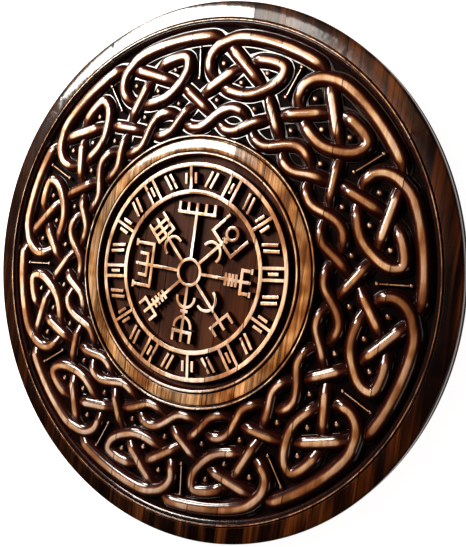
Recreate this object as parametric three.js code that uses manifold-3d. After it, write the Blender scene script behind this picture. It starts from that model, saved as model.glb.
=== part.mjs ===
// A round wooden shield: nine boards edge to edge, with one carving cut across all of them.
// Millimetres, +Z up. The shield lies on its back. The origin is the centre of the back face, +Z leaves the carved
// face, and the boards and the top of the emblem run along +Y.
import * as THREE from "three";
import { mergeVertices } from "three/addons/utils/BufferGeometryUtils.js";
import Module from "manifold-3d";

// The boards.
const shieldRadius = 300;
const boardThickness = 22; // from the back to the tops of the beads, which stand highest
const seamShares = [-0.76, -0.5, -0.24, -0.12, 0.13, 0.26, 0.505, 0.76]; // along X, as shares of the radius
const seamGap = 0.4;

// The rim and the ground inside it.
const rimWidth = 19.5; // the plain band outside the rim's bead
const rimDrop = 1.5; // how far the plain band lies below the bead
const rimBeadWidth = 6;
const backChamfer = 6;
const carvingDepth = 9; // from the tops of the beads down to the carved ground
const wallLean = 2; // how far a carved wall runs out over its height
const rimSides = 48;

// The raised ring round the emblem, with a bead along each edge.
const ringRadius = 155; // at its foot
const ringWidth = 25;
const ringBeadWidth = 4;
const ringBandDrop = 1.5; // how far the band between the beads lies below them
const ringSides = 32;

// The knotwork between the raised ring and the rim.
const unitCount = 12; // how often the knot repeats round the shield
const knotTurn = 9; // degrees from +X to the start of the first unit
const strandShareInner = 0.12; // a strand's width beside the raised ring, as a share of the knotwork's own width
const strandShareOuter = 0.153; // and beside the rim
const strandHeight = 8;
const dipLength = 30; // how far before its end a strand starts to go down under the next one
const dipShare = 0.35; // the share of its height that is left at the end
const strandTolerance = 2.4; // how far the facets may leave the curve
const rootDepth = 1; // how far every raised piece reaches into the ground, so that they are one solid

// The ring of marks, inside the raised ring.
const markRingGap = 6.3; // bare ground between the raised ring and the outer mark ring
const markRingWidth = 5.4;
const markRingSpacing = 30.5; // between the middles of the two mark rings
const markCount = 24;
const markStrokeWidth = 3.6;
const markSpread = 7; // from a mark's middle to its side strokes

// The emblem.
const emblemGap = 7.8; // bare ground between the emblem's arms and the inner mark ring
const strokeWidth = 4;
const strokeDrop = 1.5; // how far all strokes' tops lie below the beads
const hubRadius = 14.7; // to the middle of its stroke

const groundZ = boardThickness - carvingDepth;
const rootZ = groundZ - rootDepth;
const strokeZ = boardThickness - strokeDrop;
const knotInner = ringRadius;
const knotOuter = shieldRadius - rimWidth - rimBeadWidth - wallLean;
const outerMarkRing = ringRadius - ringWidth - markRingGap - markRingWidth / 2;
const innerMarkRing = outerMarkRing - markRingSpacing;
const emblemReach = innerMarkRing - markRingWidth / 2 - emblemGap;

const wasm = await Module();
wasm.setup();

// A closed geometry as a solid. Triangles that merging has folded flat, as at a lathe's axis, are left out.
function solidFrom(geometry) {
  geometry.deleteAttribute("normal");
  geometry.deleteAttribute("uv");
  const merged = mergeVertices(geometry, 1e-3);
  const index = merged.index.array;
  const triangles = [];
  for (let i = 0; i < index.length; i += 3) {
    const [a, b, c] = [index[i], index[i + 1], index[i + 2]];
    if (a !== b && b !== c && c !== a) triangles.push(a, b, c);
  }
  const vertProperties = merged.attributes.position.array;
  const triVerts = new Uint32Array(triangles);
  return new wasm.Manifold(new wasm.Mesh({ numProp: 3, vertProperties, triVerts }));
}

function geometryFrom(solid) {
  const { vertProperties, triVerts } = solid.getMesh();
  const geometry = new THREE.BufferGeometry();
  geometry.setAttribute("position", new THREE.BufferAttribute(vertProperties, 3));
  geometry.setIndex(new THREE.BufferAttribute(triVerts, 1));
  return geometry;
}

// A profile of [radius, height] pairs, turned about +Z.
function turned(profile, sides) {
  const points = profile.map(([radius, height]) => new THREE.Vector2(radius, height));
  return solidFrom(new THREE.LatheGeometry(points, sides).rotateX(Math.PI / 2));
}

// A closed section that goes through rows of as many corners each, capped at both ends. Seen along the way it goes,
// the corners run from the left foot over the top to the right foot.
function swept(rows) {
  const count = rows[0].length;
  const positions = rows.flat().flatMap((corner) => [corner.x, corner.y, corner.z]);
  const index = [];
  const end = count * (rows.length - 1);
  for (let k = 1; k + 1 < count; k++) index.push(0, k + 1, k, end, end + k, end + k + 1);
  for (let i = 0; i < end; i += count) {
    for (let k = 0; k < count; k++) {
      const next = (k + 1) % count;
      index.push(i + k, i + next, i + count + next, i + k, i + count + next, i + count + k);
    }
  }
  const geometry = new THREE.BufferGeometry();
  geometry.setAttribute("position", new THREE.Float32BufferAttribute(positions, 3));
  geometry.setIndex(index);
  return solidFrom(geometry);
}

// A point at a height, some way across from a point of a line on the face.
function beside(point, side, across, z) {
  return new THREE.Vector3(point.x + side.x * across, point.y + side.y * across, z);
}

function leftOf(direction) {
  return new THREE.Vector3(-direction.y, direction.x, 0).normalize();
}

function rim() {
  const bandZ = boardThickness - rimDrop;
  const beadInner = knotOuter + wallLean;
  return turned(
    [
      [0, 0],
      [shieldRadius - backChamfer, 0],
      [shieldRadius, backChamfer],
      [shieldRadius, bandZ],
      [beadInner + rimBeadWidth, bandZ],
      [beadInner, boardThickness],
      [knotOuter, groundZ],
      [0, groundZ],
    ],
    rimSides,
  );
}

function raisedRing() {
  const bandZ = boardThickness - ringBandDrop;
  const inner = ringRadius - ringWidth;
  return turned(
    [
      [inner, rootZ],
      [ringRadius, rootZ],
      [ringRadius - wallLean, boardThickness],
      [ringRadius - wallLean - ringBeadWidth, bandZ],
      [inner + wallLean + ringBeadWidth, bandZ],
      [inner + wallLean, boardThickness],
      [inner, rootZ],
    ],
    ringSides,
  );
}

// The knot's strands in one unit. Each is a list of [degrees into the unit, share of the way from the raised ring to
// the rim]. A strand passes over one neighbour along its way, and both its ends go down under another.
const knotStrands = [
  // the long outer strand, and the hook that it ends in
  [
    [-10.2, 0.853], [-7.5, 0.907], [-5, 0.92], [0, 0.921], [5, 0.921], [10, 0.92], [14, 0.916], [16.5, 0.902],
    [18.3, 0.876], [20, 0.85], [21.8, 0.804], [23.1, 0.743], [23.7, 0.676], [23.3, 0.599], [22.4, 0.548],
    [20.3, 0.486],
  ],
  // the teardrop inside the hook, from its foot round to its top
  [
    [20.3, 0.486], [18.5, 0.45], [16.5, 0.427], [14, 0.412], [11.5, 0.407], [9, 0.417], [6.5, 0.448], [4.3, 0.495],
    [2.6, 0.545], [1.3, 0.599], [0.6, 0.653], [0.5, 0.704], [0.9, 0.748], [2.4, 0.764], [4.5, 0.763], [6.5, 0.756],
    [8.5, 0.742], [10.5, 0.715], [12.4, 0.684],
  ],
  // the bar from the teardrop's top down to the inner bend
  [[12.4, 0.684], [15.3, 0.604], [24, 0.399], [27, 0.33]],
  // the bar across the teardrop, up to the hook
  [[4.1, 0.507], [7.5, 0.574], [16.3, 0.774], [19.8, 0.853]],
  // the bar between two teardrops
  [[19.6, 0.158], [22.8, 0.227], [31.2, 0.435], [34.1, 0.507]],
  // the inner bend
  [
    [-3, 0.33], [0.3, 0.256], [2.7, 0.21], [5, 0.158], [7.2, 0.11], [9.3, 0.076], [12, 0.062], [14.7, 0.071],
    [17, 0.102], [19.6, 0.158],
  ],
  // the wave that runs on from unit to unit
  [
    [4.6, 0.166], [6, 0.204], [7.6, 0.238], [9.5, 0.261], [12, 0.27], [14.5, 0.254], [17, 0.215], [19.3, 0.165],
    [21.5, 0.117], [23.7, 0.079], [26, 0.063], [28.5, 0.067], [31, 0.086], [33, 0.125], [34.6, 0.166],
  ],
];

// Keeps the points of a path that its shape needs, and drops those within the tolerance of the line between them.
function thinned(path, tolerance) {
  const [first, last] = [path[0], path[path.length - 1]];
  const line = new THREE.Line3(first.point, last.point);
  const nearest = new THREE.Vector3();
  let farthest = 0;
  let split = 0;
  for (let i = 1; i < path.length - 1; i++) {
    const { point } = path[i];
    const away = line.closestPointToPoint(point, true, nearest).distanceTo(point);
    if (away > farthest) {
      farthest = away;
      split = i;
    }
  }
  if (farthest <= tolerance) return [first, last];
  const before = thinned(path.slice(0, split + 1), tolerance);
  const after = thinned(path.slice(split), tolerance);
  return [...before.slice(0, -1), ...after];
}

// A strand has a ridge along its middle, and its sides fall to the ground from there.
function knotStrand(points, unit) {
  const onFace = points.map(([degrees, share]) => {
    const angle = THREE.MathUtils.degToRad(degrees + knotTurn + (unit * 360) / unitCount);
    const radius = THREE.MathUtils.lerp(knotInner, knotOuter, share);
    return new THREE.Vector3(radius * Math.cos(angle), radius * Math.sin(angle), 0);
  });
  const curve = new THREE.CatmullRomCurve3(onFace);
  const steps = 6 * points.length;
  const length = curve.getLength();
  const path = [];
  for (let i = 0; i <= steps; i++) {
    const along = i / steps;
    const point = curve.getPointAt(along);
    const side = leftOf(curve.getTangentAt(along));
    const outward = (point.length() - knotInner) / (knotOuter - knotInner);
    const widthShare = THREE.MathUtils.lerp(strandShareInner, strandShareOuter, outward);
    const halfWidth = (widthShare * (knotOuter - knotInner)) / 2;
    const toEnd = Math.min(along, 1 - along) * length;
    point.z = groundZ + strandHeight * THREE.MathUtils.lerp(dipShare, 1, Math.min(1, toEnd / dipLength));
    path.push({ point, side, halfWidth });
  }
  return swept(
    thinned(path, strandTolerance).map(({ point, side, halfWidth }) => {
      const atRoot = (halfWidth * (point.z - rootZ)) / (point.z - groundZ);
      return [beside(point, side, atRoot, rootZ), point, beside(point, side, -atRoot, rootZ)];
    }),
  );
}

function knotwork() {
  const strands = [];
  for (let unit = 0; unit < unitCount; unit++) {
    for (const points of knotStrands) strands.push(knotStrand(points, unit));
  }
  return strands;
}

// A flat-topped stroke through points on the face, with mitred corners.
function stroke(points, width) {
  const sides = [];
  for (let i = 0; i + 1 < points.length; i++) sides.push(leftOf(points[i + 1].clone().sub(points[i])));
  return swept(
    points.map((point, i) => {
      const before = sides[Math.max(0, i - 1)];
      const after = sides[Math.min(i, sides.length - 1)];
      const mitre = before.clone().add(after).divideScalar(1 + before.dot(after));
      return [
        beside(point, mitre, width / 2, rootZ),
        beside(point, mitre, width / 2, strokeZ),
        beside(point, mitre, -width / 2, strokeZ),
        beside(point, mitre, -width / 2, rootZ),
      ];
    }),
  );
}

function ringStroke(radius, width, sides) {
  const [inner, outer] = [radius - width / 2, radius + width / 2];
  return turned([[inner, rootZ], [outer, rootZ], [outer, strokeZ], [inner, strokeZ], [inner, rootZ]], sides);
}

// An arm of the emblem has a pen of its own. It takes how far out and how far to the left a stroke lies, both as
// shares of the emblem's reach.
function armPen(degrees) {
  const turn = THREE.MathUtils.degToRad(degrees);
  const place = (out, left) =>
    new THREE.Vector3(out, left, 0).multiplyScalar(emblemReach).applyAxisAngle(new THREE.Vector3(0, 0, 1), turn);
  const line = (...corners) => stroke(corners.map(([out, left]) => place(out, left)), strokeWidth);
  const stem = (tip) => line([hubRadius / emblemReach, 0], [tip, 0]);
  const rung = (out, half) => line([out, -half], [out, half]);
  const prong = (foot, tip, left) => line([foot, left], [tip, left]);
  const fork = (foot, tip, half) => line([tip, -half], [foot, -half], [foot, half], [tip, half]);
  // half a circle that opens towards the hub, or away from it where the radius is negative
  const crescent = (out, radius) => {
    const corners = [];
    const steps = 4;
    for (let i = 0; i <= steps; i++) {
      const angle = Math.PI * (i / steps - 0.5);
      corners.push([out + radius * Math.cos(angle), radius * Math.sin(angle)]);
    }
    return line(...corners);
  };
  const loop = (out, radius) => {
    const centre = place(out, 0);
    return ringStroke(radius * emblemReach, strokeWidth, 10).translate([centre.x, centre.y, 0]);
  };
  return { stem, rung, prong, fork, crescent, loop };
}

function emblem() {
  const north = armPen(90);
  const northEast = armPen(45);
  const east = armPen(0);
  const southEast = armPen(-45);
  const south = armPen(-90);
  const southWest = armPen(-135);
  const west = armPen(180);
  const northWest = armPen(135);
  return [
    ringStroke(hubRadius, strokeWidth, 16),
    north.stem(0.975),
    north.fork(0.83, 0.975, 0.294),
    north.prong(0.83, 0.975, 0.147),
    north.prong(0.83, 0.975, -0.147),
    northEast.stem(0.77),
    northEast.crescent(0.45, 0.15),
    northEast.fork(0.66, 1, 0.231),
    northEast.loop(0.86, 0.088),
    east.stem(0.99),
    east.rung(0.59, 0.09),
    east.rung(0.665, 0.09),
    east.rung(0.74, 0.09),
    east.fork(0.845, 0.99, 0.156),
    southEast.stem(0.975),
    southEast.crescent(0.475, 0.156),
    southEast.fork(0.83, 0.975, 0.163),
    south.stem(0.99),
    south.crescent(0.356, 0.145),
    south.rung(0.556, 0.063),
    south.crescent(0.78, -0.14),
    south.fork(0.845, 0.99, 0.145),
    southWest.stem(0.975),
    southWest.rung(0.54, 0.075),
    southWest.rung(0.615, 0.075),
    southWest.rung(0.69, 0.075),
    southWest.fork(0.83, 0.975, 0.15),
    west.stem(0.95),
    west.fork(0.656, 0.96, 0.306),
    west.fork(0.75, 0.89, 0.156),
    northWest.stem(0.965),
    northWest.crescent(0.45, 0.14),
    northWest.fork(0.65, 0.965, 0.15),
    northWest.rung(0.755, 0.15),
    northWest.rung(0.86, 0.15),
  ];
}

// The marks are plain strokes in repeating groups, not letters. Each stroke is a list of [across, share of the way
// from the inner mark ring to the outer one], where across is in steps of markSpread.
const markGroups = [
  [[[-0.9, 0], [-0.9, 1]], [[0, 0.3], [0, 0.7]], [[0.9, 0], [0.9, 1]]],
  [[[-0.9, 0.2], [-0.1, 0.8]], [[0.1, 0.2], [0.9, 0.8]]],
  [[[-0.9, 0.3], [-0.9, 0.7]], [[0, 0], [0, 1]], [[0.9, 0.3], [0.9, 0.7]]],
  [[[-0.1, 0.2], [-0.9, 0.8]], [[0.9, 0.2], [0.1, 0.8]]],
];

function markRings() {
  return [
    ringStroke(innerMarkRing, markRingWidth, ringSides),
    ringStroke(outerMarkRing, markRingWidth, ringSides),
  ];
}

function marks() {
  const strokes = [];
  for (let i = 0; i < markCount; i++) {
    const middle = (2 * Math.PI * (i + 0.5)) / markCount;
    const place = ([across, out]) => {
      const radius = THREE.MathUtils.lerp(innerMarkRing, outerMarkRing, out);
      const angle = middle - (across * markSpread) / radius;
      return new THREE.Vector3(radius * Math.cos(angle), radius * Math.sin(angle), 0);
    };
    const group = markGroups[i % markGroups.length];
    strokes.push(...group.map((ends) => stroke(ends.map(place), markStrokeWidth)));
  }
  return strokes;
}

// The carved disc, still in one piece.
const carvedDisc = wasm.Manifold.union([
  rim(),
  raisedRing(),
  ...knotwork(),
  ...markRings(),
  ...marks(),
  ...emblem(),
]);

// The disc sawn along its seams into boards, each placed at its own middle.
const shield = new THREE.Group();
const seams = seamShares.map((share) => share * shieldRadius);
const edges = [-shieldRadius - seamGap, ...seams, shieldRadius + seamGap];
for (let i = 0; i + 1 < edges.length; i++) {
  const width = edges[i + 1] - edges[i] - seamGap;
  const middle = (edges[i] + edges[i + 1]) / 2;
  const slab = new THREE.BoxGeometry(width, 3 * shieldRadius, 3 * boardThickness).translate(middle, 0, 0);
  const board = carvedDisc.intersect(solidFrom(slab));
  const material = new THREE.MeshStandardMaterial({ color: 0x4a2a18, roughness: 0.35, metalness: 0 });
  const mesh = new THREE.Mesh(geometryFrom(board).translate(-middle, 0, 0), material);
  mesh.name = `board_${i + 1}`;
  mesh.position.x = middle;
  shield.add(mesh);
}

export default shield;
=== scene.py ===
import math

import bpy
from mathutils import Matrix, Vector


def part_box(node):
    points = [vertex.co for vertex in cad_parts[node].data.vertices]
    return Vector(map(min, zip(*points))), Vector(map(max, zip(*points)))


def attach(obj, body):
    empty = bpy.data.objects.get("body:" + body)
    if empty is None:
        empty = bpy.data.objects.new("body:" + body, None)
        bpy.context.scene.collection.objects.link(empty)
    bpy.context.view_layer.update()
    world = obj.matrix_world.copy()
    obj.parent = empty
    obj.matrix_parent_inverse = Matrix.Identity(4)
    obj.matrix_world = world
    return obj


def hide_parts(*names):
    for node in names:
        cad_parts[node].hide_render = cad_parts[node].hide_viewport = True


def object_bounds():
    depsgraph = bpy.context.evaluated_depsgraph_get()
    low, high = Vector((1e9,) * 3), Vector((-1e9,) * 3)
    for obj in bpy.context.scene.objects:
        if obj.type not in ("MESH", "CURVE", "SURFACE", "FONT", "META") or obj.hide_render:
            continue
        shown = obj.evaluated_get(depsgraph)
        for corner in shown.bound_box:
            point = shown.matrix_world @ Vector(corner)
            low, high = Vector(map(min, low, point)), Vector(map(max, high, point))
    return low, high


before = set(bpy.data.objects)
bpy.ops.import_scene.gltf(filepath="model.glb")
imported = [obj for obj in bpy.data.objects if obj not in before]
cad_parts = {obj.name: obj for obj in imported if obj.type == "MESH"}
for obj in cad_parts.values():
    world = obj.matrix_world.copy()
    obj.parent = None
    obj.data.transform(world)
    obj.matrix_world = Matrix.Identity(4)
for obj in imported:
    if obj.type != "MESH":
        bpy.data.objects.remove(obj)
cadLow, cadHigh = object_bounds()

# The shield lies on its back, centred on the origin, with its boards along Y. Sizes below are in millimetres.
mm = 0.001
mergeGap = 0.01  # corners nearer to each other than this are one
boardNames = sorted(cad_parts, key=lambda name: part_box(name)[0].x)


def deselectAll():
    if bpy.context.mode != "OBJECT":
        bpy.ops.object.mode_set(mode="OBJECT")
    bpy.ops.object.select_all(action="DESELECT")


def pick(obj):
    deselectAll()
    obj.select_set(True)
    bpy.context.view_layer.objects.active = obj


def applyModifiers(obj):
    pick(obj)
    for modifier in list(obj.modifiers):
        bpy.ops.object.modifier_apply(modifier=modifier.name)


def copyOf(obj, turnDeg=0):
    pick(obj)
    bpy.ops.object.duplicate()
    twin = bpy.context.object
    if turnDeg:
        bpy.ops.object.mode_set(mode="EDIT")
        bpy.ops.mesh.select_all(action="SELECT")
        bpy.ops.transform.rotate(value=-math.radians(turnDeg), orient_axis="Z", center_override=(0, 0, 0))
        bpy.ops.object.mode_set(mode="OBJECT")
    return twin


def discard(objects):
    for obj in objects:
        bpy.data.objects.remove(obj)


# The disc, from the edge of its back out over the rim and in to the inner mark ring, as (radius, height).
disc = {
    "sides": 288,
    "backRound": (293.99, 6, 6, 6, -90, 0),  # middle radius, height, half width, half height, from and to degrees
    "frontRound": (297.49, 18, 2.5, 2.5, 0, 90),
    "rimGroove": [(282.6, 20.5), (282.2, 20.35), (281.9, 19.9), (281.7, 18.6), (281.1, 18.4)],
    "rimBead": (279.8, 20.5, 1.2, 0.7, -30, 210),  # as backRound, and so are the ring's two beads
    "rimWall": [(278.2, 18.6), (277.6, 18.5), (275.2, 17.2), (273.9, 14.2), (273.5, 13.3), (272.7, 13)],
    "ringWallOut": [(156.2, 13), (155.4, 13.3), (155, 14.2), (154.2, 19.4)],
    "ringBeadOut": (152.4, 20.9, 1.7, 1.1, -30, 210),
    "ringBand": [
        (150.3, 18.2), (149.5, 18.0), (149.1, 19.6), (148.7, 20.1), (148, 20.3), (145.5, 20.5), (142.5, 20.6),
        (139.5, 20.5), (137.2, 20.3), (136.6, 20.1), (136.2, 19.6), (135.9, 18.0), (135.4, 18.2),
    ],
    "ringBeadIn": (133.4, 20.7, 2.1, 1.3, -30, 210),
    "ringWallIn": [(131.2, 19.0), (130.3, 14.2), (129.9, 13.3), (129.1, 13)],
    "arcSteps": 8,
    "markRings": [121, 90.5],
    "markRingHalf": [(3.2, 13), (2.85, 13.3), (2.7, 19.8), (2.5, 20.3), (2.0, 20.5)],
}


# Angles in radians, from the first to the last in even steps.
def arcAngles(fromDeg, toDeg, steps):
    return [math.radians(fromDeg + (toDeg - fromDeg) * i / steps) for i in range(steps + 1)]


def arcPoints(middle, height, halfWidth, halfHeight, fromDeg, toDeg):
    angles = arcAngles(fromDeg, toDeg, disc["arcSteps"])
    return [(middle + halfWidth * math.cos(a), height + halfHeight * math.sin(a)) for a in angles]


def discProfile():
    points = arcPoints(*disc["backRound"]) + arcPoints(*disc["frontRound"])
    points += disc["rimGroove"] + arcPoints(*disc["rimBead"]) + disc["rimWall"]
    points += disc["ringWallOut"] + arcPoints(*disc["ringBeadOut"]) + disc["ringBand"]
    points += arcPoints(*disc["ringBeadIn"]) + disc["ringWallIn"]
    for middle in disc["markRings"]:
        points += [(middle + out, z) for out, z in disc["markRingHalf"]]
        points += [(middle - out, z) for out, z in reversed(disc["markRingHalf"])]
    return points


def buildDisc():
    profile = discProfile()
    radius, height = profile[0]
    deselectAll()
    bpy.ops.mesh.primitive_circle_add(
        vertices=disc["sides"], radius=radius * mm, fill_type="NGON", location=(0, 0, height * mm)
    )
    obj = bpy.context.object
    obj.name = "carvedDisc"
    bpy.ops.object.transform_apply()
    bpy.ops.object.mode_set(mode="EDIT")
    bpy.ops.mesh.select_all(action="SELECT")
    for nextRadius, nextHeight in profile[1:]:
        rise = (nextHeight - height) * mm
        scale = nextRadius / radius
        bpy.ops.mesh.extrude_region_move(TRANSFORM_OT_translate={"value": (0, 0, rise)})
        bpy.ops.transform.resize(value=(scale, scale, 1), center_override=(0, 0, 0))
        radius, height = nextRadius, nextHeight
    bpy.ops.mesh.select_all(action="SELECT")
    bpy.ops.mesh.normals_make_consistent(inside=False)
    bpy.ops.object.mode_set(mode="OBJECT")
    return obj


print("stage: disc")
carved = buildDisc()


# A flat outline for sweep, from corners in millimetres.
def sectionCurve(name, corners):
    curve = bpy.data.curves.new(name, "CURVE")
    curve.dimensions = "2D"
    line = curve.splines.new("POLY")
    line.points.add(len(corners) - 1)
    for spot, (across, up) in zip(line.points, corners):
        spot.co = (across * mm, up * mm, 0, 1)
    line.use_cyclic_u = True
    obj = bpy.data.objects.new(name, curve)
    bpy.context.scene.collection.objects.link(obj)
    return obj


# A section goes along its path with its top on the path. A point's radius widens and deepens it.
def sweep(name, section, points, radii=None, closed=False):
    curve = bpy.data.curves.new(name, "CURVE")
    curve.dimensions = "3D"
    curve.twist_mode = "Z_UP"
    curve.bevel_mode = "OBJECT"
    curve.bevel_object = section
    curve.use_fill_caps = not closed
    line = curve.splines.new("POLY")
    line.points.add(len(points) - 1)
    for i, (spot, place) in enumerate(zip(line.points, points)):
        spot.co = (*(place * mm), 1)
        spot.radius = radii[i] if radii else 1
    line.use_cyclic_u = closed
    obj = bpy.data.objects.new(name, curve)
    bpy.context.scene.collection.objects.link(obj)
    pick(obj)
    bpy.ops.object.convert(target="MESH")
    obj = bpy.context.object
    bpy.ops.object.mode_set(mode="EDIT")
    bpy.ops.mesh.select_all(action="SELECT")
    bpy.ops.mesh.remove_doubles(threshold=mergeGap * mm)
    bpy.ops.mesh.normals_make_consistent(inside=False)
    bpy.ops.object.mode_set(mode="OBJECT")
    return obj


# The knot's strands in one unit, as [degrees into the unit, share of the way from the raised ring to the rim].
knot = {
    "units": 12,
    "turnDeg": 9,
    "innerRadius": 155,
    "outerRadius": 272.5,
    "innerHalfWidth": 7.2,
    "outerHalfWidth": 9.1,
    "topZ": 21.3,
    "dip": 6,
    "dipLength": 21,
    "spacing": 2.6,  # between two places along a strand
    "pathSteps": 16,
    "fewestSteps": 6,
    "crownPower": 0.94,  # under 1 makes a strand's top flatter than half round
    "crownDepth": 0.95,  # as a share of half the strand's width
    "crownSteps": 14,
    "footDepth": 1.4,
    "footSpread": 1.03,
    "ledgeWidth": 1.5,  # the fine step that runs along each strand's foot
    "ledgeZ": 14.1,
    "ledgeSection": [(-1, -.3), (-1, -.09), (-.985, -.03), (-.95, 0), (.95, 0), (.985, -.03), (1, -.09), (1, -.3)],
    # pellets and a fine spine in the gaps, in the same units as the strands
    "pellets": [(19.4, .318), (4.6, .315), (12, .507), (19, .66), (4.9, .65)],
    "pelletRadius": 3.8,
    "pelletTopZ": 18.9,
    "pelletFlatten": 0.55,
    "pelletSides": 16,
    "pelletRings": 12,
    "spine": [(26.8, .53), (26.8, .82)],
    "spineHalf": 1.1,
    "spineSection": [(-1.3, -5), (-1, -.8), (-.85, -.3), (-.5, 0), (.5, 0), (.85, -.3), (1, -.8), (1.3, -5)],
    "spineTopZ": 18,
    "spineEndRadius": 2.6,
    "strands": [
        [(-10.2, .853), (-7.5, .907), (-5, .92), (0, .921), (5, .921), (10, .92), (14, .916), (16.5, .902),
         (18.3, .876), (20, .85), (21.8, .804), (23.1, .743), (23.7, .676), (23.3, .599), (22.4, .548), (20.3, .486)],
        [(20.3, .486), (18.5, .45), (16.5, .427), (14, .412), (11.5, .407), (9, .417), (6.5, .448), (4.3, .495),
         (2.6, .545), (1.3, .599), (.6, .653), (.5, .704), (.9, .748), (2.4, .764), (4.5, .763), (6.5, .756),
         (8.5, .742), (10.5, .715), (12.4, .684)],
        [(12.4, .684), (15.3, .604), (24, .399), (27, .33)],
        [(4.1, .507), (7.5, .574), (16.3, .774), (19.8, .853)],
        [(19.6, .158), (22.8, .227), (31.2, .435), (34.1, .507)],
        [(-3, .33), (.3, .256), (2.7, .21), (5, .158), (7.2, .11), (9.3, .076), (12, .062), (14.7, .071),
         (17, .102), (19.6, .158)],
        [(4.6, .166), (6, .204), (7.6, .238), (9.5, .261), (12, .27), (14.5, .254), (17, .215), (19.3, .165),
         (21.5, .117), (23.7, .079), (26, .063), (28.5, .067), (31, .086), (33, .125), (34.6, .166)],
    ],
}


# Evenly spaced places on a smooth curve through the points.
def smoothPath(points, spacing):
    ends = [points[0] * 2 - points[1], *points, points[-1] * 2 - points[-2]]
    fine = []
    for before, start, end, after in zip(ends, ends[1:], ends[2:], ends[3:]):
        for i in range(knot["pathSteps"]):
            t = i / knot["pathSteps"]
            fine.append(
                0.5 * (
                    2 * start + (end - before) * t + (2 * before - 5 * start + 4 * end - after) * t * t
                    + (3 * start - before - 3 * end + after) * t * t * t
                )
            )
    fine.append(points[-1])
    along = [0]
    for start, end in zip(fine, fine[1:]):
        along.append(along[-1] + (end - start).length)
    steps = max(knot["fewestSteps"], round(along[-1] / spacing))
    path, place = [], 0
    for i in range(steps + 1):
        want = along[-1] * i / steps
        while place < len(fine) - 2 and along[place + 1] < want:
            place += 1
        share = (want - along[place]) / (along[place + 1] - along[place])
        path.append(fine[place].lerp(fine[place + 1], share))
    return path, along[-1]


def strandSection():
    corners = []
    for angle in arcAngles(0, 180, knot["crownSteps"]):
        across = math.copysign(abs(math.cos(angle)) ** knot["crownPower"], math.cos(angle))
        corners.append((across, knot["crownDepth"] * (math.sin(angle) ** knot["crownPower"] - 1)))
    foot = knot["footDepth"]
    corners += [(-knot["footSpread"], -foot), (knot["footSpread"], -foot)]
    return sectionCurve("strandSection", corners)


def knotPlace(degrees, share, z=0):
    angle = math.radians(degrees + knot["turnDeg"])
    radius = knot["innerRadius"] + share * (knot["outerRadius"] - knot["innerRadius"])
    return Vector((radius * math.cos(angle), radius * math.sin(angle), z))


def strand(section, ledgeSection, points):
    path, length = smoothPath([knotPlace(*point) for point in points], knot["spacing"])
    radii = []
    for i, place in enumerate(path):
        share = (place.xy.length - knot["innerRadius"]) / (knot["outerRadius"] - knot["innerRadius"])
        toEnd = min(i, len(path) - 1 - i) / (len(path) - 1) * length
        down = max(0, 1 - toEnd / knot["dipLength"])
        place.z = knot["topZ"] - knot["dip"] * down * down * (3 - 2 * down)
        radii.append(knot["innerHalfWidth"] + share * (knot["outerHalfWidth"] - knot["innerHalfWidth"]))
    foot = [Vector((place.x, place.y, knot["ledgeZ"])) for place in path]
    footRadii = [radius + knot["ledgeWidth"] for radius in radii]
    return [sweep("strand", section, path, radii), sweep("strandFoot", ledgeSection, foot, footRadii)]


def pellet(degrees, share, radius):
    flatten = knot["pelletFlatten"]
    middle = knotPlace(degrees, share, knot["pelletTopZ"] - radius * flatten)
    deselectAll()
    bpy.ops.mesh.primitive_uv_sphere_add(
        segments=knot["pelletSides"], ring_count=knot["pelletRings"], radius=radius * mm, location=middle * mm
    )
    obj = bpy.context.object
    obj.name = "pellet"
    obj.scale.z = flatten
    bpy.ops.object.transform_apply()
    return obj


def buildKnot():
    section = strandSection()
    ledgeSection = sectionCurve("footSection", knot["ledgeSection"])
    half = knot["spineHalf"]
    spineSection = sectionCurve("spineSection", [(x * half, y * half) for x, y in knot["spineSection"]])
    unit = []
    for points in knot["strands"]:
        unit += strand(section, ledgeSection, points)
    unit += [pellet(*spot, knot["pelletRadius"]) for spot in knot["pellets"]]
    unit += [pellet(*spot, knot["spineEndRadius"]) for spot in knot["spine"]]
    unit.append(sweep("spine", spineSection, [knotPlace(*spot, knot["spineTopZ"]) for spot in knot["spine"]]))
    discard([section, ledgeSection, spineSection])
    turned = [copyOf(piece, i * 360 / knot["units"]) for piece in unit for i in range(1, knot["units"])]
    return unit + turned


print("stage: knotwork")
raised = buildKnot()


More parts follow.
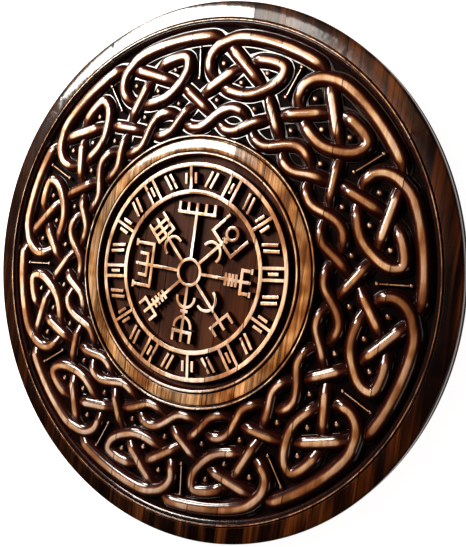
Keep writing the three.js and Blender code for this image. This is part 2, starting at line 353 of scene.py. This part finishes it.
# The emblem: eight arms round a hub. A stroke runs from (out, left) to (out, left) on its arm.
emblem = {
    "strokeHalf": 2.0,
    "strokeZ": 20.45,
    "strokeDepth": 9,
    "strokeFlare": 0.15,
    "shoulder": 0.45,
    "shoulderShape": [(0, 1.4), (0.3, 0.35), (1, 0)],  # in from the side and down from the top, in shoulders
    "hubRadius": 14.7,
    "hubArc": (0, 355, 71),  # from and to degrees, and in how many steps
    "crescentArc": (-96, 96, 24),
    "loopArc": (0, 352, 44),
    "layer": 0.01,  # strokes of different arms keep clear of each other's planes
    "arms": {
        90: {"stem": 78, "bars": [(66.5, 25.5)],
             "prongs": [(66.5, 78, v) for v in (-23.5, -11.75, 11.75, 23.5)]},
        45: {"stem": 62, "bars": [(53, 20.5), (58.5, 4)], "prongs": [(53, 80, -18.5), (53, 80, 18.5)],
             "crescents": [(36, 12)], "loops": [(69.5, 7)]},
        0: {"stem": 79.4, "bars": [(48.2, 7), (52.6, 7), (57, 7), (61.5, 7), (67.8, 14.5)],
            "prongs": [(67.8, 79.4, -12.5), (67.8, 79.4, 12.5)], "caps": [(79.4, -12.5, 3), (79.4, 12.5, 3)]},
        -45: {"stem": 78, "bars": [(66.5, 15)], "prongs": [(66.5, 78, -13), (66.5, 78, 13)],
              "crescents": [(38, 12.5)]},
        -90: {"stem": 79.4, "bars": [(44.6, 5), (67.8, 13.6)], "prongs": [(67.8, 79.4, -11.6), (67.8, 79.4, 11.6)],
              "crescents": [(28.5, 11.6), (62.4, -11.2)]},
        -135: {"stem": 78, "bars": [(43, 6), (48.5, 6), (54, 6), (59.5, 6), (66.5, 14)],
               "prongs": [(66.5, 78, -12), (66.5, 78, 12)]},
        180: {"stem": 75.8, "bars": [(52.6, 26.5), (59.5, 14.5)],
              "prongs": [(52.6, 76.7, -24.5), (52.6, 76.7, 24.5), (59.5, 71, -12.5), (59.5, 71, 12.5)],
              "caps": [(76.7, -24.5, 4), (76.7, 24.5, 4)]},
        135: {"stem": 77, "bars": [(47, 4), (52, 14), (60, 12), (68, 12)],
              "prongs": [(52, 77, -12), (52, 77, 12)], "crescents": [(36, 11.5)]},
    },
}


def strokeSection(name, half):
    shoulder = emblem["shoulder"]
    right = [(half + emblem["strokeFlare"], -emblem["strokeDepth"])]
    right += [(half - shoulder * side, -shoulder * down) for side, down in emblem["shoulderShape"]]
    corners = right + [(-across, up) for across, up in reversed(right)]
    return sectionCurve(name, corners)


def circlePath(centre, radius, arc, z):
    spots = [(centre[0] + radius * math.cos(a), centre[1] + radius * math.sin(a)) for a in arcAngles(*arc)]
    return [Vector((x, y, z)) for x, y in spots]


def buildEmblem():
    section = strokeSection("emblemStroke", emblem["strokeHalf"])
    z = emblem["strokeZ"]
    hub = circlePath((0, 0), emblem["hubRadius"], emblem["hubArc"], z)
    strokes = [sweep("hub", section, hub, closed=True)]
    for turn, arm in emblem["arms"].items():
        cos, sin = math.cos(math.radians(turn)), math.sin(math.radians(turn))
        z -= emblem["layer"]

        def place(out, left):
            return Vector((out * cos - left * sin, out * sin + left * cos, z))

        lines = [((emblem["hubRadius"], 0), (arm["stem"], 0))]
        lines += [((out, -half), (out, half)) for out, half in arm["bars"]]
        lines += [((foot, left), (tip, left)) for foot, tip, left in arm["prongs"]]
        lines += [((out, left - half), (out, left + half)) for out, left, half in arm.get("caps", [])]
        strokes += [sweep("stroke", section, [place(*start), place(*end)]) for start, end in lines]
        for out, radius in arm.get("crescents", []):
            turns = arcAngles(*emblem["crescentArc"])
            bow = [place(out + radius * math.cos(a), radius * math.sin(a)) for a in turns]
            strokes.append(sweep("crescent", section, bow))
        for out, radius in arm.get("loops", []):
            loop = circlePath(place(out, 0), radius, emblem["loopArc"], z)
            strokes.append(sweep("loop", section, loop, closed=True))
    discard([section])
    return strokes


print("stage: emblem")
raised += buildEmblem()


# The ring of marks: plain strokes in repeating groups. A stroke goes from (across, out) to (across, out), where out
# is a share of the way between the two mark rings.
marks = {
    "count": 24,
    "spread": 7,  # what 1 across stands for
    "strokeHalf": 2.05,
    "z": 20.35,
    "groups": [
        [(-.9, 0, -.9, 1), (0, .3, 0, .7), (.9, 0, .9, 1)],
        [(-.9, .2, -.1, .8), (.1, .2, .9, .8)],
        [(-.9, .3, -.9, .7), (0, 0, 0, 1), (.9, .3, .9, .7)],
        [(-.1, .2, -.9, .8), (.9, .2, .1, .8)],
    ],
}


def buildMarks():
    section = strokeSection("markStroke", marks["strokeHalf"])
    outer, inner = disc["markRings"]
    strokes = []
    for i in range(marks["count"]):
        middle = 2 * math.pi * (i + 0.5) / marks["count"]

        def place(across, out):
            radius = inner + out * (outer - inner)
            angle = middle - across * marks["spread"] / radius
            return Vector((radius * math.cos(angle), radius * math.sin(angle), marks["z"]))

        for across1, out1, across2, out2 in marks["groups"][i % len(marks["groups"])]:
            strokes.append(sweep("mark", section, [place(across1, out1), place(across2, out2)]))
    discard([section])
    return strokes


print("stage: marks")
raised += buildMarks()


def boolean(obj, operation, other=None, group=None):
    modifier = obj.modifiers.new(operation.lower(), "BOOLEAN")
    modifier.operation = operation
    modifier.solver = "MANIFOLD"
    if group:
        modifier.operand_type = "COLLECTION"
        modifier.collection = group
    else:
        modifier.object = other
    applyModifiers(obj)


print("stage: joining", len(raised), "raised pieces to the disc")
heap = bpy.data.collections.new("raised")
bpy.context.scene.collection.children.link(heap)
for piece in raised:
    for holder in list(piece.users_collection):
        holder.objects.unlink(piece)
    heap.objects.link(piece)
boolean(carved, "UNION", group=heap)
discard(raised)
bpy.data.collections.remove(heap)
print("triangles in the disc:", sum(len(p.vertices) - 2 for p in carved.data.polygons))


# The boards, sawn out of the disc between their seams.
boards = {
    "smoothDeg": 32,
    "cutHeight": 100,
    "gapLeft": 0.1,  # the glue line that stays open between two boards
}


def sawBoard(name):
    low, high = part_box(name)
    board = copyOf(carved)
    board.name = "carved_" + name
    place = boardNames.index(name)
    left = 2 * cadLow.x
    right = 2 * cadHigh.x
    if place > 0:
        left = (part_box(boardNames[place - 1])[1].x + low.x) / 2 + boards["gapLeft"] * mm / 2
    if place < len(boardNames) - 1:
        right = (high.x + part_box(boardNames[place + 1])[0].x) / 2 - boards["gapLeft"] * mm / 2
    deselectAll()
    bpy.ops.mesh.primitive_cube_add(size=1, location=((left + right) / 2, 0, 0))
    saw = bpy.context.object
    saw.scale = (right - left, 4 * cadHigh.y, boards["cutHeight"] * mm)
    bpy.ops.object.transform_apply(location=True, rotation=False, scale=True)
    boolean(board, "INTERSECT", other=saw)
    discard([saw])
    pick(board)
    bpy.ops.object.shade_smooth_by_angle(angle=math.radians(boards["smoothDeg"]))
    return board


print("stage: boards")
finished = {name: sawBoard(name) for name in boardNames}
discard([carved])


def node(tree, kind, inputs=None, **settings):
    made = tree.nodes.new("ShaderNode" + kind)
    for key, value in settings.items():
        setattr(made, key, value)
    for key, value in (inputs or {}).items():
        if isinstance(value, bpy.types.NodeSocket):
            tree.links.new(value, made.inputs[key])
        else:
            made.inputs[key].default_value = value
    return made


def mapped(tree, value, low, high, toLow=0.0, toHigh=1.0, smooth=True):
    made = node(tree, "MapRange", {0: value, 1: low, 2: high, 3: toLow, 4: toHigh})
    made.interpolation_type = "SMOOTHSTEP" if smooth else "LINEAR"
    return made.outputs[0]


def maths(tree, operation, first, second=0.5):
    return node(tree, "Math", {0: first, 1: second}, operation=operation).outputs[0]


def product(tree, first, *others):
    for other in others:
        first = maths(tree, "MULTIPLY", first, other)
    return first


def mixed(tree, factor, first, second, blend="MIX"):
    made = node(tree, "Mix", {0: factor, 6: first, 7: second}, data_type="RGBA", blend_type=blend)
    return made.outputs[2]


def tinted(tree, first, second):
    return mixed(tree, 1.0, first, second, "MULTIPLY")


# A colour, or one grey level, with full alpha.
def opaque(value):
    return (*value, 1) if isinstance(value, tuple) else (value, value, value, 1)


# The wood: dark brown in the medallion's ground, near-black in the ground from the raised ring out to the rim, dark
# on the flanks, and under gloss lacquer. The crowns are rubbed back to pale wood and painted with highlight, paler
# the more squarely they face up.
# A pair of numbers is where a change starts and ends, and two more are its values there.
wood = {
    "medallion": (0.072, 0.029, 0.019),
    "recess": (0.006, 0.0018, 0.0013),
    "flank": (0.034, 0.0068, 0.004),
    "rim": (0.030, 0.010, 0.0045),
    "back": (0.050, 0.020, 0.012),
    "strandTop": (0.90, 0.71, 0.57),
    "goldenPatch": (1.0, 0.84, 0.58),  # a warmer cast that comes and goes over the rubbed wood
    "band": (0.54, 0.32, 0.168),
    "bead": (0.90, 0.74, 0.60),
    "strokeTop": (1.0, 0.76, 0.61),
    "halfRubbedShade": (0.22, 0.115, 0.09),  # what a crown's colour is multiplied by where it starts to fall away: painted shade on its shoulders, and less rubbing there
    # each board's own tone, and painted shade: most boards right of the middle are darker, away from the key light
    "boardTonesAndShade": [
        (1.0, 0.97, 0.94), (0.95, 0.92, 0.88), (0.95, 0.94, 0.92), (0.92, 0.88, 0.84), (1.05, 1.05, 1.05),
        (0.74, 0.62, 0.54), (1.04, 0.93, 0.80), (0.80, 0.66, 0.52), (0.58, 0.43, 0.33),
    ],
    "boardShift": (1.37, 2.3),  # no two boards show the same grain
    "boardFigureAndReflection": [0.1, 0.1, 0.15, 0.2, 0.55, 0.75, 0.5, 0.75, 0.9],  # golden figure that shows through the stain; on the rim of the boards right of the middle it is also painted reflection of warm light
    "figureAndReflection": (0.13, 0.045, 0.013),
    "boardGloss": [1, 1, 1, 1, 1, 0.22, 0.32, 0.55, 0.7],  # how well the lacquer has lasted on the rim and the ring
    # where each zone starts, as a share of the shield's radius
    "zones": {
        "marks": 0.30, "ringInner": 0.425, "ringWall": 0.435, "band": 0.4525, "ringOuter": 0.4975, "pastRing": 0.5,
        "knot": 0.518, "rimWall": 0.9085, "rimFoot": 0.913, "rimBead": 0.9275, "rim": 0.9395,
    },
    # streaks with their scale across and along a board, and even noise
    "grain": (300, 7, {"Detail": 5, "Roughness": 0.6}),
    "fibres": (1100, 16, {"Detail": 2}),
    "figure": (30, 3.2, {"Detail": 2, "Distortion": 1.2}),
    "blotch": {"Scale": 60, "Detail": 3},
    "wear": {"Scale": 28, "Detail": 2},
    "hand": {"Scale": 110, "Detail": 1},
    "grainTone": (0.33, 0.66, 0.32, 1.25),
    "figureTone": (0.35, 0.65, 0.58, 1.2),
    "poreTone": (0.58, 0.68, 1.0, 0.5),
    "plainTone": 0.9,
    "emblemGrain": 0.5,  # how much of the grain's contrast each part shows
    "knotGrain": 0.3,
    "backGrain": 0.7,
    "backEdge": (1, 6),
    "groundEdge": (13.4, 15.4),
    "rubbedAndHighlitFrom": (15.4, 18.4),
    "crownFacing": (0.918, 0.980),  # how squarely a crown faces up where it is rubbed pale and painted with highlight
    "brightFacing": (0.974, 1.014),
    "facingNoise": 0.05,
    "braidTrim": (0.60, 0.72, 0.012, 0.0),  # the inner braid's crowns are narrower
    "wearBright": (0.34, 0.58, 0.25, 1.0),
    "shadeTowardFoot": (-270, -40, 0.5, 1.0),  # painted shade: the knots' crowns are darker towards the foot (-Y), away from the key light
    "patchEdge": (0.40, 0.62, 1.0, 0.0),
    "glowEdge": (0.42, 0.62),
    "emblemGlow": 0.7,
    "seamDirt": 0.6,
    "seamCore": 0.4,  # as a share of seamDirt
    "seamDark": 0.75,
    "roughness": (0.3, 0.7, 0.40, 0.26),
    "groundRoughness": 0.72,
    "medallionRoughness": 0.5,
    "specular": 0.06,
    "coat": 0.9,
    "coatEdge": (13.3, 13.9),
    "coatRoughness": 0.11,
    "handBump": (0.18, 0.6),  # the slight unevenness of hand carving, as distance and strength
    "grainBump": (0.2, 0.5),
}


def noise(tree, place, settings):
    return node(tree, "TexNoise", {"Vector": place, **settings}).outputs["Fac"]


def streaks(tree, place, index, across, along, settings):
    shift = [index * step for step in wood["boardShift"]]
    spot = node(tree, "Mapping", {0: place, 1: (*shift, 0), 3: (across, along, across)}).outputs[0]
    return noise(tree, spot, {"Scale": 1, **settings})


# A value that changes in steps from the middle outwards: the first, and then each zone's own from where it starts.
def byZone(tree, share, first, **zones):
    made = node(tree, "ValToRGB", {0: share})
    line = made.color_ramp
    line.interpolation = "CONSTANT"
    line.elements.remove(line.elements[-1])
    line.elements[0].color = opaque(first)
    for zone, value in zones.items():
        line.elements.new(wood["zones"][zone]).color = opaque(value)
    return made.outputs["Color"]


def mappedLength(tree, length, start, end, *values):
    return mapped(tree, length, start * mm, end * mm, *values)


def bumped(tree, height, distance, strength, **inputs):
    values = {"Height": height, "Distance": distance * mm, "Strength": strength, **inputs}
    return node(tree, "Bump", values).outputs[0]


def woodMaterial(index):
    material = bpy.data.materials.new(f"lacqueredWood{index + 1}")
    material.use_nodes = True
    tree = material.node_tree
    tree.nodes.clear()
    coords = node(tree, "TexCoord")
    place = coords.outputs["Object"]
    across, along, height = node(tree, "SeparateXYZ", {0: place}).outputs
    flat = node(tree, "VectorMath", {0: place, 1: (1, 1, 0)}, operation="MULTIPLY").outputs[0]
    radius = node(tree, "VectorMath", {0: flat}, operation="LENGTH").outputs["Value"]
    share = maths(tree, "DIVIDE", radius, cadHigh.x)
    facing = node(tree, "SeparateXYZ", {0: coords.outputs["Normal"]}).outputs[2]

    grain, fibres, figure = [streaks(tree, place, index, *wood[name]) for name in ("grain", "fibres", "figure")]
    blotch, wear, hand = [noise(tree, place, wood[name]) for name in ("blotch", "wear", "hand")]

    # rubbed wood and painted highlight: the crowns are paler the more squarely they face up, with painted shade where
    # they fall away
    topColour = byZone(
        tree, share, wood["strokeTop"], ringInner=wood["bead"], band=wood["band"], ringOuter=wood["bead"],
        knot=wood["strandTop"], rimWall=wood["rim"], rimBead=wood["bead"], rim=wood["rim"],
    )
    patch = mapped(tree, wear, *wood["patchEdge"])
    topColour = mixed(tree, patch, topColour, tinted(tree, topColour, opaque(wood["goldenPatch"])))
    inKnot = maths(tree, "GREATER_THAN", share, wood["zones"]["knot"])
    edge = node(tree, "Math", {0: blotch, 1: wood["facingNoise"], 2: facing}, operation="MULTIPLY_ADD").outputs[0]
    edge = maths(tree, "SUBTRACT", edge, product(tree, mapped(tree, share, *wood["braidTrim"]), inKnot))
    crown = product(tree, mappedLength(tree, height, *wood["rubbedAndHighlitFrom"]), mapped(tree, edge, *wood["crownFacing"]))
    inMiddle = maths(tree, "LESS_THAN", share, wood["zones"]["knot"])
    # painted shade on the knots' crowns, darker towards the foot of the shield
    foot = maths(tree, "MAXIMUM", mappedLength(tree, along, *wood["shadeTowardFoot"]), inMiddle)
    # painted highlight: the crowns' pale core, by how squarely they face up, broken up by wear
    bright = product(tree, mapped(tree, edge, *wood["brightFacing"]), mapped(tree, wear, *wood["wearBright"]), foot)
    rubbedAndHighlit = mixed(tree, bright, tinted(tree, topColour, opaque(wood["halfRubbedShade"])), topColour)

    # the dark ground and flanks, and the pale crowns over them
    groundColour = byZone(tree, share, wood["medallion"], ringWall=wood["recess"], rim=wood["rim"])
    flankColour = byZone(tree, share, wood["flank"], rim=wood["rim"])
    colour = mixed(tree, mappedLength(tree, height, *wood["groundEdge"]), groundColour, flankColour)
    colour = mixed(tree, crown, colour, rubbedAndHighlit)

    rubbedAndHighlitRing = product(tree, crown, maths(tree, "LESS_THAN", share, wood["zones"]["pastRing"]))
    # golden figure, and painted reflection of warm light on the rim of the right-hand boards
    figureAndReflection = product(
        tree, mapped(tree, figure, *wood["glowEdge"]), wood["boardFigureAndReflection"][index],
        byZone(tree, share, wood["emblemGlow"], marks=0, rim=1), maths(tree, "SUBTRACT", 1.0, rubbedAndHighlitRing),
    )
    colour = mixed(tree, figureAndReflection, colour, opaque(wood["figureAndReflection"]))
    front = mappedLength(tree, height, *wood["backEdge"])
    colour = mixed(tree, front, opaque(wood["back"]), colour)

    # grain, and the board's own tone with painted shade on the boards away from the key light
    grained = byZone(tree, share, wood["emblemGrain"], band=1, knot=wood["knotGrain"], rimFoot=1)
    grained = mixed(tree, front, opaque(wood["backGrain"]), grained)
    tone = product(
        tree, mapped(tree, grain, *wood["grainTone"]), mapped(tree, figure, *wood["figureTone"]),
        mapped(tree, fibres, *wood["poreTone"]),
    )
    toneColour = node(tree, "CombineXYZ", {0: tone, 1: tone, 2: tone}).outputs[0]
    toneColour = mixed(tree, grained, opaque(wood["plainTone"]), toneColour)
    toneColour = tinted(tree, toneColour, opaque(wood["boardTonesAndShade"][index]))
    colour = tinted(tree, colour, toneColour)

    # dark lines of old glue and dirt where boards meet
    low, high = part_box(boardNames[index])
    fromMiddle = maths(tree, "ABSOLUTE", maths(tree, "SUBTRACT", across, (low.x + high.x) / 2))
    half = (high.x - low.x) / 2
    dirt = wood["seamDirt"] * mm
    seam = mapped(tree, fromMiddle, half - dirt, half - dirt * wood["seamCore"], 0.0, wood["seamDark"])
    colour = mixed(tree, seam, colour, opaque(wood["recess"]))

    # lacquer everywhere but in the ground
    glossy = mappedLength(tree, height, *wood["coatEdge"])
    groundRough = byZone(tree, share, wood["medallionRoughness"], ringWall=wood["groundRoughness"])
    smoothRough = mapped(tree, grain, *wood["roughness"], smooth=False)
    rough = node(tree, "Mix", {0: glossy, 2: groundRough, 3: smoothRough}).outputs[0]
    flats = byZone(tree, share, 0, band=1, ringOuter=0, rim=1)
    lasting = mapped(tree, flats, 0.0, 1.0, wood["coat"], wood["coat"] * wood["boardGloss"][index])
    carving = bumped(tree, hand, *wood["handBump"])
    shader = node(
        tree, "BsdfPrincipled",
        {"Base Color": colour, "Roughness": rough,
         "Normal": bumped(tree, grain, *wood["grainBump"], Normal=carving),
         "Specular IOR Level": wood["specular"],
         "Coat Weight": product(tree, glossy, lasting),
         "Coat Roughness": wood["coatRoughness"], "Coat Normal": carving},
    )
    end = node(tree, "OutputMaterial")
    tree.links.new(shader.outputs[0], end.inputs[0])
    return material


print("stage: wood")
for index, (name, board) in enumerate(finished.items()):
    board.data.materials.clear()
    board.data.materials.append(woodMaterial(index))
    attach(board, "root")
    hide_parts(name)


# The pale floor, the lights and the camera, in metres.
studio = {
    "floorSize": 8,
    "floorZ": -0.0002,  # just under the back, so that the two faces never share a plane
    "floorColour": (0.4, 0.4, 0.4),
    "floorRoughness": 0.9,
    "floorGlow": 0.8,
    "world": (0.55, 0.52, 0.5),
    "worldStrength": 0.08,
    # place, size, power and colour of each soft light; all of them look at the middle of the shield
    "lights": {
        "key": ((-0.675, 0.40, 0.92), (0.44, 0.48), 20.5, (1.0, 0.95, 0.88)),
        "rake": ((-1.2, 0.95, 0.5), (0.4, 0.4), 18, (1.0, 0.95, 0.88)),
        "rimGlow": ((-0.25, 0.52, 1.3), (0.3, 0.3), 0.35, (1.0, 0.62, 0.34)),
        "side": ((1.3, -0.7, 0.9), (0.5, 0.5), 1.5, (1.0, 0.72, 0.6)),
    },
    "cameraPlace": (0.43432, 0.06282, 0.6747),
    "cameraTurnDeg": (0.326, 30.259, 9.0),
    "lens": 46.14,
    "sensorWidth": 36,
}


def buildStudio():
    deselectAll()
    bpy.ops.mesh.primitive_plane_add(size=studio["floorSize"], location=(0, 0, studio["floorZ"]))
    floor = bpy.context.object
    floor.name = "floor"
    material = bpy.data.materials.new("paleFloor")
    material.use_nodes = True
    shader = material.node_tree.nodes["Principled BSDF"]
    shader.inputs["Base Color"].default_value = opaque(studio["floorColour"])
    shader.inputs["Roughness"].default_value = studio["floorRoughness"]
    shader.inputs["Emission Color"].default_value = (1, 1, 1, 1)
    shader.inputs["Emission Strength"].default_value = studio["floorGlow"]
    floor.data.materials.append(material)
    for name, (place, size, power, colour) in studio["lights"].items():
        deselectAll()
        bpy.ops.object.light_add(type="AREA", location=place)
        light = bpy.context.object
        light.name = name
        light.data.shape = "RECTANGLE"
        light.data.size, light.data.size_y = size
        light.data.energy = power
        light.data.color = colour
        light.rotation_euler = (-Vector(place)).to_track_quat("-Z", "Y").to_euler()
    world = bpy.data.worlds.new("studio")
    world.use_nodes = True
    tree = world.node_tree
    dim = tree.nodes["Background"]
    dim.inputs["Color"].default_value = opaque(studio["world"])
    dim.inputs["Strength"].default_value = studio["worldStrength"]
    # the room behind the floor's far edge is seen pale, but lights the shield only dimly
    pale = tree.nodes.new("ShaderNodeBackground")
    pale.inputs["Color"].default_value = (1, 1, 1, 1)
    path = tree.nodes.new("ShaderNodeLightPath")
    blend = tree.nodes.new("ShaderNodeMixShader")
    tree.links.new(path.outputs["Is Camera Ray"], blend.inputs[0])
    tree.links.new(dim.outputs[0], blend.inputs[1])
    tree.links.new(pale.outputs[0], blend.inputs[2])
    tree.links.new(blend.outputs[0], tree.nodes["World Output"].inputs[0])
    bpy.context.scene.world = world
    bpy.context.scene.view_settings.view_transform = "Standard"
    bpy.context.scene.view_settings.look = "Medium High Contrast"


def buildCamera():
    deselectAll()
    bpy.ops.object.camera_add(
        location=studio["cameraPlace"], rotation=[math.radians(turn) for turn in studio["cameraTurnDeg"]]
    )
    camera = bpy.context.object
    camera.data.lens = studio["lens"]
    camera.data.sensor_width = studio["sensorWidth"]
    bpy.context.scene.camera = camera


print("stage: studio")
buildStudio()
buildCamera()
